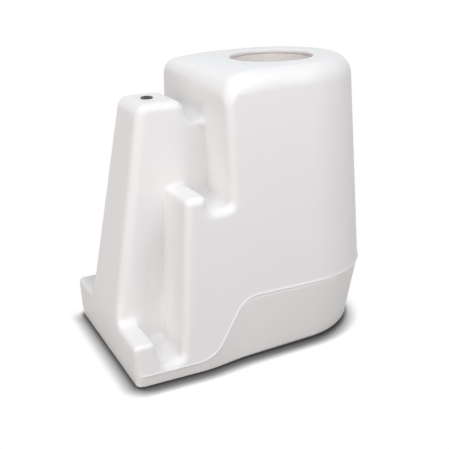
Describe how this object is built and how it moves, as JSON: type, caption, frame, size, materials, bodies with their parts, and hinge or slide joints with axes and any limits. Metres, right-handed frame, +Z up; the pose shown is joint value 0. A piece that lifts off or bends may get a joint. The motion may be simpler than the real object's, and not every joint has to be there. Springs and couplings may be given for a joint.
{
  "type": "moulded marine tank with recessed fill cap",
  "caption": "White moulded marine tank: a drafted tower with a recessed screw fill cap, a leaning outlet column with a pickup tube, strap pockets and corner feet.",
  "frame": {"origin": "under the middle of the bounding box, on the floor that the base pads rest on", "axes": "+X along the length towards the fill tower, -Y towards the front seen in the picture, +Z up"},
  "size_m": [0.3559, 0.234, 0.3465],
  "materials": {
    "white_shell": "satin",
    "white_cap": "satin",
    "seal_rubber": "matte",
    "black_rubber": "matte",
    "black_plastic": "satin",
    "grey_plastic": "satin",
    "natural_plastic": "satin",
    "steel": "brushed"
  },
  "bodies": {
    "tank": {"upper_shell": "white_shell", "base_pan": "white_shell", "seam_seal": "seal_rubber", "joint_ring": "white_shell", "base_pads": "black_rubber", "fill_collar": "white_shell", "collar_gasket": "black_rubber", "outlet_bush": "black_plastic", "outlet_washer": "black_rubber", "outlet_nut": "black_plastic", "pickup_tube": "natural_plastic", "foot_valve_body": "grey_plastic", "foot_strainer": "natural_plastic"},
    "cap_seal": {"cap_oring": "black_rubber"},
    "cap": {"fill_cap": "white_cap", "bail_pins": "steel", "vent_retainer": "white_cap", "vent_spring": "steel"},
    "handle": {"cap_bail": "steel"},
    "vent": {"vent_poppet": "grey_plastic"},
    "foot_valve": {"foot_valve_poppet": "white_cap", "foot_valve_spring": "steel"}
  },
  "joints": [
    {"name": "cap_lift", "type": "slide", "parent": "tank", "child": "cap_seal", "axis": [0, 0, 1], "range_m": [0, 0.009]},
    {"name": "cap_turn", "type": "hinge", "parent": "cap_seal", "child": "cap", "pos_m": [0.065, 0, 0.3225], "axis": [0, 0, 1], "range_deg": [0, 540]},
    {"name": "handle_fold", "type": "hinge", "parent": "cap", "child": "handle", "pos_m": [0.065, 0, 0.324], "axis": [-1, 0, 0], "range_deg": [0, 90]},
    {"name": "vent_open", "type": "slide", "parent": "cap", "child": "vent", "axis": [0, 0, -1], "range_m": [0, 0.002], "stiffness_N_per_m": 60, "springref_m": -0.004, "deforming": ["vent_spring"]},
    {"name": "foot_valve_open", "type": "slide", "parent": "tank", "child": "foot_valve", "axis": [0, 0, 1], "range_m": [0, 0.003], "stiffness_N_per_m": 60, "springref_m": -0.004, "deforming": ["foot_valve_spring"]}
  ],
  "couplings": [
    {"joint": "cap_lift", "follows": "cap_turn", "m_per_rad": 0.00095493}
  ]
}
